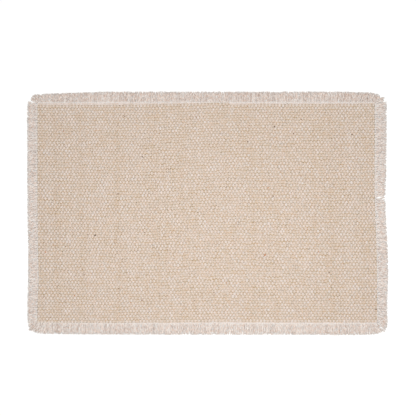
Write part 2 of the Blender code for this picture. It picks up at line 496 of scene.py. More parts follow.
def spread(tree, value, low, high, from_low=0.0, from_high=1.0):
    """Spreads a value that lies between from_low and from_high over the range from low to high."""
    inputs = {"Value": value, "From Min": from_low, "From Max": from_high, "To Min": low, "To Max": high}
    return add_node(tree, "ShaderNodeMapRange", inputs).outputs[0]


def mix(tree, share, first, second, blend_type="MIX"):
    """Mixes two colours, each three values or another node's output."""
    first, second = (c if isinstance(c, bpy.types.NodeSocket) else (*c, 1) for c in (first, second))
    inputs = {0: share, 6: first, 7: second}
    return add_node(tree, "ShaderNodeMix", inputs, data_type="RGBA", blend_type=blend_type).outputs[2]


def bump(tree, height, distance, strength):
    inputs = {"Height": height, "Distance": distance, "Strength": strength}
    return add_node(tree, "ShaderNodeBump", inputs).outputs[0]


def attribute(tree, name, output="Fac"):
    return add_node(tree, "ShaderNodeAttribute", attribute_name=name).outputs[output]


def object_place(tree):
    return add_node(tree, "ShaderNodeTexCoord").outputs["Object"]


def yarn_place(tree):
    """The three parts of the yarn attribute, and the angle round the yarn."""
    parts = add_node(tree, "ShaderNodeSeparateXYZ", {0: attribute(tree, "yarn", "Vector")}).outputs
    return parts, maths(tree, "ARCTAN2", parts["Y"], parts["X"])


def new_material(name):
    """An empty material, and its tree."""
    material = bpy.data.materials.new(name)
    material.use_nodes = True
    material.node_tree.nodes.clear()
    return material, material.node_tree


def add_shader(tree, inputs):
    shader = add_node(tree, "ShaderNodeBsdfPrincipled", inputs)
    add_node(tree, "ShaderNodeOutputMaterial", {"Surface": shader.outputs["BSDF"]})


MEAN_CLEANNESS = 0.6  # of the fibre, from 0 for its deep colour to 1 for its light one
STREAKS = 0.45  # unevenness of cleanness from streak to streak
STREAK_LENGTH = 2.5 * MM
STREAK_SCALE = 1.6  # streaks for each radius of the yarn
HAIR_SCALE = 9.0  # the same for hairs
HAIR_STRETCH = 0.2  # how often hairs follow each other along the yarn, measured round it as above
HAIR_DEPTH = 0.5  # unevenness of cleanness from hair to hair
PLY_GROOVE_SHADE = 0.16  # painted shade: how much lighter the top of a ply is painted than its flank, down in the groove between plies
TONE_DEPTH = 0.16  # how much lighter the fibre is painted for each unit of tone, which is partly the yarns' own and partly painted light and shade
PLY_RELIEF = 0.8  # height of the plies' bump, as a share of the hairs'
PATCH = 1.5 * MM  # how far apart rosier and greyer fibre lie
PATCHINESS = 2.5  # how sharply one turns into the other
ROSY_CAST = (1.045, 0.965, 0.905)  # what the linear colour is multiplied by
GREYISH_CAST = (0.935, 1.0, 1.03)
TROUGH_SHADE_CAST = (1.04, 0.95, 0.68)  # painted shade: a warm darkening that the colour is multiplied by down between two rows, for the shade and warm bounce light there
THREAD_PLIES = 3
THREAD_LAY = 1.2 * MM  # how far along the thread its plies wind once round it
HUSK_GRAIN = 0.5 * MM
HUSK_UNEVENNESS = 0.25
PAPER_GRAIN = 3 * MM


def cotton(
    name, light, deep, plies, lay_length,
    streaks=STREAKS, streak_length=STREAK_LENGTH, patch=PATCH, patchiness=PATCHINESS,
):
    """Undyed cotton spun soft and plied: matt, faintly hairy fibre whose plies wind round the yarn, with
    painted shade down between them, and deeper in colour from one length of yarn to another. It also lays
    on the painted light and shade that a yarn's tone and trough shade carry."""
    material, tree = new_material(name)
    parts, angle = yarn_place(tree)
    ply_angle = maths(tree, "MULTIPLY", angle, plies)
    winding = maths(tree, "MULTIPLY_ADD", parts["Z"], math.tau * plies / lay_length, ply_angle)
    ply = maths(tree, "COSINE", winding)

    # Fibres are about 0.02 mm thick, too fine to show. They are drawn as streaks about 0.6 mm wide
    # that show from afar, and as hairs about 0.1 mm wide that lean with the twist of the yarn.
    along = maths(tree, "MULTIPLY", parts["Z"], 1 / streak_length)
    around = add_node(tree, "ShaderNodeCombineXYZ", {"X": parts["X"], "Y": parts["Y"], "Z": along})
    fibres = noise(tree, around.outputs[0], STREAK_SCALE)
    twist = maths(tree, "MULTIPLY_ADD", parts["Z"], math.tau / lay_length, angle)
    twisted = {
        "X": maths(tree, "COSINE", twist),
        "Y": maths(tree, "SINE", twist),
        "Z": maths(tree, "MULTIPLY", along, HAIR_STRETCH),
    }
    hairs = noise(tree, add_node(tree, "ShaderNodeCombineXYZ", twisted).outputs[0], HAIR_SCALE)

    by_fibre = spread(tree, fibres, MEAN_CLEANNESS - streaks / 2, MEAN_CLEANNESS + streaks / 2)
    by_hair = maths(tree, "MULTIPLY_ADD", hairs, HAIR_DEPTH, -HAIR_DEPTH / 2)
    # Painted shade in the grooves between plies, with the fibres' own streaks and hairs:
    fibre_marks_and_groove_shade = maths(tree, "MULTIPLY_ADD", ply, PLY_GROOVE_SHADE, maths(tree, "ADD", by_fibre, by_hair))
    tone = attribute(tree, "tone")
    # The tone carries painted shade in troughs and on lower plies and painted light at roots and cut
    # tips, besides the yarns' own tone.
    cleanness_with_painted_light_and_shade = maths(tree, "MULTIPLY_ADD", tone, TONE_DEPTH, fibre_marks_and_groove_shade, use_clamp=True)
    spun = mix(tree, cleanness_with_painted_light_and_shade, deep, light)

    # Undyed fibre varies from rosy cream to grey every few millimetres, at about the same lightness.
    patches = noise(tree, object_place(tree), 1 / patch)
    greyness = spread(tree, patches, 0, 1, 0.5 - 0.5 / patchiness, 0.5 + 0.5 / patchiness)
    cast = mix(tree, greyness, ROSY_CAST, GREYISH_CAST)
    patchy = mix(tree, 1.0, spun, cast, "MULTIPLY")
    relief = maths(tree, "MULTIPLY_ADD", ply, PLY_RELIEF, hairs)
    look = {
        # Painted shade: warmer and deeper where a yarn lies down between two rows.
        "Base Color": mix(tree, attribute(tree, "painted_trough_shade"), patchy, TROUGH_SHADE_CAST, "MULTIPLY"),
        "Roughness": spread(tree, fibres, 0.96, 0.84),
        "Normal": bump(tree, relief, 0.12 * MM, 0.8),
        "IOR": 1.5,
        "Specular IOR Level": 0.2,
        "Sheen Weight": 0.15,
        "Sheen Roughness": 0.5,
    }
    add_shader(tree, look)
    return material


def spun_thread(colour):
    """Bleached sewing cotton, tightly twisted: whiter and smoother than the yarns round it."""
    material, tree = new_material("sewing cotton, mercerised")
    parts, angle = yarn_place(tree)
    winding = maths(tree, "MULTIPLY_ADD", parts["Z"], math.tau * THREAD_PLIES / THREAD_LAY, angle)
    twist = maths(tree, "COSINE", winding)
    look = {
        # Painted shade: the thread is painted deeper in the grooves between its plies.
        "Base Color": mix(tree, spread(tree, twist, 0.9, 1.0, from_low=-1), (0, 0, 0), colour),
        "Roughness": 0.7,
        "Normal": bump(tree, twist, 0.04 * MM, 0.5),
        "Sheen Weight": 0.1,
    }
    add_shader(tree, look)
    return material


def seed_husk(dark, pale):
    """Bits of cotton seed coat and stalk that ginning left in: dry, brittle and uneven brown."""
    material, tree = new_material("cotton seed husk, dry")
    grain = noise(tree, object_place(tree), 1 / HUSK_GRAIN)
    uneven = spread(tree, grain, -HUSK_UNEVENNESS, HUSK_UNEVENNESS)
    paleness = maths(tree, "ADD", attribute(tree, "tone"), uneven, use_clamp=True)
    look = {
        "Base Color": mix(tree, paleness, dark, pale),
        "Roughness": 0.75,
        "Normal": bump(tree, grain, 0.1 * MM, 0.6),
    }
    add_shader(tree, look)
    return material


def matt_paper(colour):
    """A roll of matt white background paper, faintly fibrous."""
    material, tree = new_material("background paper, matt white")
    fibre = noise(tree, object_place(tree), 1 / PAPER_GRAIN, detail=3.0)
    look = {
        "Base Color": (*colour, 1),
        "Roughness": spread(tree, fibre, 0.9, 1.0),
        "Specular IOR Level": 0.1,
    }
    add_shader(tree, look)
    return material


def finish_piece(piece, material, replaced):
    """Dresses a finished piece and lets it stand for its CAD node."""
    piece.data.materials.clear()
    piece.data.materials.append(material)
    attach(piece, "root")
    if replaced:
        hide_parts(replaced)


# ---- Studio ----

PHOTO_PIXELS = 416
MM_PER_PIXEL = 1.327  # the mat's 480 mm over its 361.6 px
MAT_CENTRE_PX = (207.0, 212.75)  # where the mat's centre lies in the photograph
CAMERA_HEIGHT = 2.5
SENSOR = 36.0  # millimetres
CLIP_END = 50.0
FLOOR_SIZE = 12.0
LAMP_PLACE = Vector((0.03, -0.06, 0.42))
LAMP_SIZE = 0.3
LAMP_POWER = 0.76
SKY_STRENGTH = 0.95


class PLACEMAT_OT_studio(bpy.types.Operator):
    """Adds the camera straight above the mat, a pale floor and soft light"""

    bl_idname = "placemat.studio"
    bl_label = "Studio"

    def execute(self, context):
        scene = context.scene
        middle = PHOTO_PIXELS / 2
        aim_x = (middle - MAT_CENTRE_PX[0]) * MM_PER_PIXEL * MM
        aim_y = (MAT_CENTRE_PX[1] - middle) * MM_PER_PIXEL * MM
        bpy.ops.object.camera_add(location=(aim_x, aim_y, CAMERA_HEIGHT), rotation=(0, 0, 0))
        scene.camera = context.object
        camera = scene.camera.data
        camera.sensor_width = SENSOR
        camera.lens = SENSOR * CAMERA_HEIGHT / (PHOTO_PIXELS * MM_PER_PIXEL * MM)
        camera.clip_end = CLIP_END

        bpy.ops.mesh.primitive_plane_add(size=FLOOR_SIZE)
        floor = context.object
        floor.name = "floor"
        floor.data.materials.append(matt_paper(scene.placemat_colours.paper))
        floor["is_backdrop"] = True

        bpy.ops.object.light_add(type="AREA", location=LAMP_PLACE)
        lamp = context.object
        lamp.data.size = LAMP_SIZE
        lamp.data.energy = LAMP_POWER
        lamp.visible_camera = False

        scene.world = bpy.data.worlds.new("white studio")
        scene.world.use_nodes = True
        sky = scene.world.node_tree.nodes["Background"]
        sky.inputs["Color"].default_value = (1, 1, 1, 1)
        sky.inputs["Strength"].default_value = SKY_STRENGTH
        scene.view_settings.view_transform = "Standard"
        return {"FINISHED"}


# ---- Warp and weft ----

WARP_PIECES = 4
RINGS_PER_CROSSING = 3
SPARE_RINGS = 7  # at a warp yarn's two ends together, at the least
WARP_OVERHANG = 1.0 * MM  # how far the warp yarns go on beyond the cloth's edge
WEFT_INSIDE = 0.6 * MM  # a slanting row stops where it comes this near to the back or front edge
LEAST_RING_GAP = 0.1  # of a row, between a yarn's end and its next ring
WARP_SIDES = 6
WEFT_SIDES = 5
END_ROW = 0.5  # how far past its last weft, in rows, a warp yarn keeps rising or falling
OPENING_START = 0.3  # how far past it the yarn starts to open out, and how much further it takes
OPENING = 0.4
OPEN_WIDTH = 0.7  # width of an opened end, from 0 for a waist's to 1 for a float's
OPEN_END_LIGHT_TONE = 0.6  # painted light: how much lighter an opened end is painted, where it stands unshaded at the root
PLATEAU = 2.6  # how flat-topped the floats are
DIVE = 0.2  # how much of a row's spacing a warp yarn takes to rise out of a trough, or to sink into it
ROWS_BEYOND = 3  # how many rows beyond the cloth its edges are looked for
ROW_STEP = 0.05  # and how finely
FLOAT_TONE = 0.4  # unevenness of tone from float to float
WARP_TONE = 0.25  # and from warp yarn to warp yarn
WEFT_TONE = 0.3  # and from weft yarn to weft yarn, and along each of them
TROUGH_SHADE_TONE = 0.4  # painted shade: how much deeper in tone a warp yarn is painted down in a trough between two rows, where shade falls
TROUGH_SHADE_DRIFT = 1.0  # unevenness of that along a trough
TROUGH_SHADE_CHANCE = 0.3  # and from crossing to crossing
MEAN_TROUGH_WARM_SHADE = 0.5  # how strongly the warm painted shade of a trough is laid on, from 0 to 1
TROUGH_WARM_SHADE_DRIFT = 0.12  # and how much that changes with the trough's unevenness
RELIEF_TONE = 0.7  # how much the floats' contrast with the weft yarns changes from place to place
END_TAPER = 0.7  # width of a yarn's hidden end, as a share of its waist
TAPER_SHARE = 0.01  # how much of half a yarn's length that takes up
NOMINAL_FILL = 0.4  # radius of a tube before it is laid, as a share of the yarns' spacing


def trough_warm_shade(drift):
    """How strongly a trough's warm painted shade is laid on, from the trough's chance variation."""
    return np.clip(MEAN_TROUGH_WARM_SHADE + TROUGH_WARM_SHADE_DRIFT * drift, 0, 1)


def end_taper(share):
    """How wide a yarn is at shares of the way along it, out of its own width."""
    hidden = (np.abs(share - 0.5) * 2 - (1 - TAPER_SHARE)) / TAPER_SHARE
    return 1 - (1 - END_TAPER) * smooth(hidden)


class Weave:
    """Where the yarns run and how they vary, which the warp, the weft and the fringe share."""

    def __init__(self, context):
        weave = context.scene.placemat_weave
        self.sizes = weave
        self.warps, self.wefts = weave.warp_count, weave.weft_count
        self.rise = (CLOTH_THICKNESS - weave.float_height) / 2
        self.warp_stray = unevenness(11, self.warps, (17, 41, 97))
        self.warp_slub = unevenness(12, self.warps, (9, 23, 52))
        self.weft_stray = unevenness(13, self.wefts, (19, 47, 110))
        self.weft_slub = unevenness(14, self.wefts, (11, 31, 64))
        chance = np.random.default_rng(15)
        self.float_size = chance.normal(0, 1, (self.warps, self.wefts))
        self.float_tone = chance.normal(0, 1, (self.warps, self.wefts))
        # Chance unevenness of the painted shade in the troughs, from crossing to crossing:
        self.dive_shade_chance = chance.normal(0, 1, (self.warps, self.wefts + 1))
        self.warp_tone = chance.normal(0, 1, self.warps)
        self.weft_tone = chance.normal(0, 1, self.wefts)
        # Chance unevenness of the painted shade along each trough between two rows:
        self.trough_shade_wander = unevenness(16, self.wefts + 1, (14, 37, 90))
        self.weft_patches = unevenness(17, self.wefts, (12, 29, 71))
        self.contrast = ripples(18, 9 * MM, 40 * MM)
        self.ring_rows = self.place_rings()
        self.weft_ends = self.find_weft_ends()
        self.crossings = self.find_crossings()

    def place_rings(self):
        """The row number, with fractions, of every warp yarn's rings: one in each trough between two
        rows, two on each float or dip, and the rest evenly over what is left at the yarn's ends."""
        tried = np.arange(-ROWS_BEYOND, self.wefts + ROWS_BEYOND - 1, ROW_STEP)
        troughs = np.arange(-ROWS_BEYOND, self.wefts + ROWS_BEYOND) - 0.5
        locked = np.sort(np.concatenate([troughs, troughs + DIVE, troughs + 1 - DIVE]))
        count = self.wefts * RINGS_PER_CROSSING + SPARE_RINGS
        placed = np.empty((self.warps, count))
        for yarn in range(self.warps):
            x, y = on_cloth(warp_share(np.full(len(tried), yarn)), weft_share(tried))
            ends = -edge(FRONT, x[0]) - WARP_OVERHANG, edge(BACK, x[-1]) + WARP_OVERHANG
            first, last = np.interp(ends, y, tried)
            inner = locked[(locked > first + LEAST_RING_GAP) & (locked < last - LEAST_RING_GAP)]
            before = (count - len(inner)) // 2
            after = count - len(inner) - before
            placed[yarn, :before] = np.linspace(first, inner[0], before, endpoint=False)
            placed[yarn, before : count - after] = inner
            placed[yarn, count - after :] = np.linspace(inner[-1], last, after + 1)[1:]
        return placed

    def row(self, yarn, share):
        """The row number, with fractions, at a share of the way along a warp yarn."""
        count = self.ring_rows.shape[1]
        ring = np.clip(share, 0, 1) * (count - 1)
        before = np.minimum(ring.astype(int), count - 2)
        low, high = self.ring_rows[yarn, before], self.ring_rows[yarn, before + 1]
        return low + (high - low) * (ring - before)

    def find_weft_ends(self):
        """The first and last warp yarn, by number, that each weft yarn crosses. One beyond the
        outermost yarns means that it reaches the mat's left or right fringe."""
        yarns = np.arange(-1, self.warps + 1)
        ends = np.empty((self.wefts, 2))
        for row in range(self.wefts):
            x, y = on_cloth(warp_share(yarns), weft_share(np.full(len(yarns), row)))
            inside = yarns[(y > -edge(FRONT, x) + WEFT_INSIDE) & (y < edge(BACK, x) - WEFT_INSIDE)]
            ends[row] = inside[0], inside[-1]
        return ends

    def find_crossings(self):
        """The first and the last weft yarn that crosses each warp yarn."""
        yarns = np.arange(self.warps)
        crossed = (self.weft_ends[:, :1] <= yarns) & (yarns <= self.weft_ends[:, 1:])
        return np.stack([crossed.argmax(axis=0), self.wefts - 1 - crossed[::-1].argmax(axis=0)], axis=1)

    def lift(self, yarn, row):
        """From 1 where a warp yarn lies on top of a weft yarn to -1 where it lies beneath one."""
        first, last = self.crossings[yarn].T
        row = np.clip(row, first - END_ROW, last + END_ROW)
        wave = np.cos(math.pi * (row + yarn))
        return np.tanh(PLATEAU * wave) / math.tanh(PLATEAU)

    def opening(self, yarn, row):
        """From 0 in the weave to 1 where a warp yarn has opened out beyond its last weft yarn."""
        first, last = self.crossings[yarn].T
        outside = np.maximum(first - row, row - last)
        return smooth((outside - OPENING_START) / OPENING)

    def row_stray(self, row, x):
        """How far a row, or a place between two rows, lies off its line."""
        below = np.clip(np.floor(row).astype(int), 0, self.wefts - 2)
        between = np.clip(row - below, 0, 1)
        low, high = self.weft_stray(below, x), self.weft_stray(below + 1, x)
        return self.sizes.weft_wander * (low + (high - low) * between)

    def warp_place(self, yarn, row):
        x, y = on_cloth(warp_share(yarn), weft_share(row))
        x = x + self.sizes.warp_wander * self.warp_stray(yarn, y)
        y = y + self.row_stray(row, x) * (1 - self.opening(yarn, row))
        z = MIDDLE + self.rise * self.lift(yarn, row)
        return np.stack([x, y, z], axis=1)

    def weft_place(self, row, yarn):
        x, y = on_cloth(warp_share(yarn), weft_share(row))
        y = y + self.row_stray(row, x)
        z = MIDDLE - self.sizes.weft_wave * np.cos(math.pi * (row + yarn))
        return np.stack([x, y, z], axis=1)

    def nearest_row(self, row):
        return np.clip(np.rint(row).astype(int), 0, self.wefts - 1)


class PLACEMAT_OT_warp_yarns(bpy.types.Operator):
    """Weaves the thick warp yarns, which pass over and under the weft yarns by turns"""

    bl_idname = "placemat.warp_yarns"
    bl_label = "Warp yarns"

    def execute(self, context):
        weave = Weave(context)
        colours = context.scene.placemat_colours
        material = cotton(
            "undyed cotton warp, soft spun", colours.warp_light, colours.warp_deep,
            plies=3, lay_length=8 * MM,
        )
        bounds = np.linspace(0, weave.warps, WARP_PIECES + 1).astype(int)
        for number, (first, last) in enumerate(zip(bounds, bounds[1:]), start=1):
            self.weave_piece(f"warp_yarns_{number}", weave, int(first), int(last), material)
        return {"FINISHED"}

    def weave_piece(self, name, weave, first, last, material):
        sizes = weave.sizes
        pitch = 2 * HALF_LENGTH / weave.warps
        rings = weave.ring_rows.shape[1]
        row_spacing = 2 * HALF_WIDTH / weave.wefts
        step = 2 * HALF_WIDTH / (rings - 1)
        corner = Vector((CLOTH_LOW.x + (first + 0.5) * pitch, CLOTH_LOW.y, MIDDLE))
        rank = Rank(
            name, corner, ALONG_Y, ALONG_X, last - first, rings, step, pitch,
            WARP_SIDES, pitch * NOMINAL_FILL, 2 * (sizes.float_width + sizes.float_height),
        )

        def route(tube, share):
            return weave.warp_place(tube + first, weave.row(tube + first, share))

        def section(tube, share):
            yarn, row = tube + first, weave.row(tube + first, share)
            flatness = np.maximum(np.abs(weave.lift(yarn, row)), OPEN_WIDTH * weave.opening(yarn, row))
            slub = weave.warp_slub(yarn, row * row_spacing)
            plump = 1 + sizes.slub * (slub + weave.float_size[yarn, weave.nearest_row(row)])
            width = sizes.waist_width + (sizes.float_width - sizes.waist_width) * flatness
            height = sizes.waist_height + (sizes.float_height - sizes.waist_height) * flatness
            return width / 2 * plump * end_taper(share), height / 2 * end_taper(share)

        piece, tube, share, turn = lay_tubes(rank, route, section)
        yarn, row = tube + first, weave.row(tube + first, share)
        tone = FLOAT_TONE * weave.float_tone[yarn, weave.nearest_row(row)]
        tone = tone + WARP_TONE * weave.warp_tone[yarn]
        # Painted shade: where a warp yarn dives into a trough between two rows, its tone is painted
        # deeper and its colour warmer, standing in for the shade and warm bounce light there, unevenly
        # from place to place. Painted light: an opened end beyond the last weft yarn is painted lighter,
        # as where it stands unshaded at the root.
        trough = np.clip(np.rint(row + 0.5).astype(int), 0, weave.wefts)
        opening = weave.opening(yarn, row)
        depth = (1 - np.abs(weave.lift(yarn, row))) * (1 - opening)
        drift = weave.trough_shade_wander(trough, yarn * pitch)
        uneven = TROUGH_SHADE_DRIFT * drift + TROUGH_SHADE_CHANCE * weave.dive_shade_chance[yarn, trough]
        tone = tone - (TROUGH_SHADE_TONE + uneven) * depth + OPEN_END_LIGHT_TONE * opening
        x, y = on_cloth(warp_share(yarn), weft_share(row))
        tone = tone + RELIEF_TONE / 2 * weave.contrast(x, y) * (1 - depth)
        mark_yarn(piece, turn, row * row_spacing + yarn * pitch, tone)
        write_attribute(piece, "painted_trough_shade", "FLOAT", depth * trough_warm_shade(drift + weave.dive_shade_chance[yarn, trough]))
        finish_piece(piece, material, "cloth")


class PLACEMAT_OT_weft_yarns(bpy.types.Operator):
    """Lays the weft yarns, which run nearly straight between the warp yarns"""

    bl_idname = "placemat.weft_yarns"
    bl_label = "Weft yarns"

    def execute(self, context):
        weave = Weave(context)
        sizes, colours = weave.sizes, context.scene.placemat_colours
        pitch = 2 * HALF_WIDTH / weave.wefts
        step = 2 * HALF_LENGTH / weave.warps
        corner = Vector((CLOTH_LOW.x - step / 2, CLOTH_LOW.y + pitch / 2, MIDDLE))
        rank = Rank(
            "weft_yarns", corner, ALONG_X, ALONG_Y, weave.wefts, weave.warps + 2, step, pitch,
            WEFT_SIDES, sizes.weft_height / 2, 2 * (sizes.weft_width + sizes.weft_height),
        )

        def route(tube, share):
            first, last = weave.weft_ends[tube].T
            return weave.weft_place(tube, first + share * (last - first))

        def section(tube, share):
            plump = 1 + sizes.slub * weave.weft_slub(tube, share * 2 * HALF_LENGTH)
            width, height = sizes.weft_width / 2 * plump, sizes.weft_height / 2
            return width * end_taper(share), height * end_taper(share)

        piece, tube, share, turn = lay_tubes(rank, route, section)
        metres = share * 2 * HALF_LENGTH
        tone = WEFT_TONE * weave.weft_tone[tube] + WEFT_TONE * weave.weft_patches(tube, metres)
        first, last = weave.weft_ends[tube].T
        x, y = on_cloth(warp_share(first + share * (last - first)), weft_share(tube))
        tone = tone - RELIEF_TONE * weave.contrast(x, y)
        mark_yarn(piece, turn, metres + tube * pitch, tone)
        # Painted shade: a weft yarn's flanks, down between two rows, are painted warmer and deeper, as
        # the warp yarns are in the troughs.
        trough = tube + (np.cos(turn) < 0)
        side = np.cos(turn) ** 2
        write_attribute(piece, "painted_trough_shade", "FLOAT", side * trough_warm_shade(weave.trough_shade_wander(trough, metres)))
        material = cotton(
            "undyed cotton weft, soft spun", colours.weft_light, colours.weft_deep,
            plies=2, lay_length=7 * MM,
        )
        finish_piece(piece, material, "cloth")
        return {"FINISHED"}


# ---- Fringe ----

PLY_SIDES = 5
PLY_RINGS = 7
PLY_INSET = 1.6 * MM  # how far inside the cloth's edge a ply starts
ROOT_WEAVE = 0.3  # how far the ends still rise and fall at the root, as a share of the woven yarns
WARP_ROOT_SPREAD = 0.75  # how much of a yarn's own width its plies take up at the root
WEFT_ROOT_SPREAD = 0.55
TIP_SPREAD = 1.0
OPEN_SHARE = 0.5  # share of the way along a ply in which its yarn opens out
LOOSE_SHARE = 0.4  # and in which it comes free of the weave
FREE_LENGTH = 1.015  # length of the longest plies, as a share of the fringe's there
CLUMP_LEAN = 1.5  # how far, in degrees, the plies of one place lean together
PLY_LEAN = 4.0  # and each by itself
LOW_LEAN = 0.15  # how much of that the lowest plies lean
SWERVE = 0.3 * MM  # how far a ply strays from its line
CRIMP_LENGTH = 7.1 * MM  # two rows of the weave
CRIMP_RISE = 0.5  # how far a wave rises, as a share of how far it goes aside
TIP_SINK = 0.5  # how much of its height above the lowest ones a ply has lost at its tip
PLY_SLUB = 0.12  # unevenness of thickness from ply to ply
TIP_FLUFF = 0.1  # how much thicker a ply is towards its tip
CUT_SHARE = 0.99  # beyond this share of the way it closes, to this share of its thickness
CUT_TAPER = 0.35
FAN_WIDENING = 0.35  # how much wider a ply opens at its tip, for each ply's width that a fan spreads it
BEND = 0.3  # a ply bends to its lean as the share of the way along it ** this
CURLED_BEND = 0.9  # round the corner where the outermost plies of two sides curl towards each other
CURLED_CORNER = Vector((225.3 * MM, -145.6 * MM))
CURL_REACH = 14 * MM
PLY_TONE = 0.45  # unevenness of tone from ply to ply
BUNCH_TONE = 0.15  # and from one yarn's plies to the next
LOWER_PLY_SHADE_TONE = 1.0  # painted shade: how much lighter the uppermost plies are painted than the lowest, which lie in their shade
SPECK_TONE = 1.0  # unevenness of tone along a ply
ROOT_LIGHT_TONE = 1.5  # painted light: how much lighter the fibre is painted at the root, where the strands stand high and unshaded
ROOT_SHARE = 0.3  # and how far along a ply that goes
OUTER_TONE = 0.4  # how much more soiled it is further out
OUTER_SHARE = 0.7  # how much of a ply it takes to become so
OUTER_START = 0.3  # and where that starts, out of the same
TIP_LIGHT_TONE = 1.8  # and painted light at the cut tip: how much lighter the fibre is painted there
FIBRE_SHIFT = 11 * MM  # how far the streaks of one ply lie from those of the next

# A side of the mat: `out` points away from the cloth, `along` is the direction of its stations, and
# `tone` is how much cleaner its fibre is than elsewhere.
Side = namedtuple("Side", "node stations along out seed tone")
SIDES = (
    Side("fringe_back", BACK, ALONG_X, ALONG_Y, 21, -0.2),
    Side("fringe_front", FRONT, ALONG_X, -ALONG_Y, 22, 0.2),
    Side("fringe_left", LEFT, ALONG_Y, -ALONG_X, 23, 0.5),
    Side("fringe_right", RIGHT, ALONG_Y, ALONG_X, 24, 0.5),
)
LOST_TUFT = 18.2 * MM  # along the right side, where a weft yarn's end has broken off but for one ply
STUB = 1.6 * MM
KEPT_LEAN = 13.0  # slant of the ply that is left, in degrees
PARTING = 4.0  # how far, in degrees, the plies beside the gap lean away from it
PARTING_REACH = 4 * MM


def yarn_ends(weave, side):
    """Where the yarns leave the cloth on one side, in plan, and at what height."""
    outward = sum(side.out)
    if side.along.x > 0:
        number = np.arange(weave.warps)
        end_row = weave.ring_rows[:, 0 if outward < 0 else -1]
        roots = np.stack(on_cloth(warp_share(number), weft_share(end_row)), axis=1)
        roots[:, 1] -= outward * WARP_OVERHANG
        return roots, MIDDLE + ROOT_WEAVE * weave.rise * weave.lift(number, end_row)
    last, far = (-1, 0.0) if outward < 0 else (weave.warps, 1.0)
    number = np.flatnonzero(weave.weft_ends[:, 0 if outward < 0 else 1] == last)
    roots = np.stack(on_cloth(np.full(len(number), far), weft_share(number)), axis=1)
    return roots, np.full(len(number), MIDDLE)


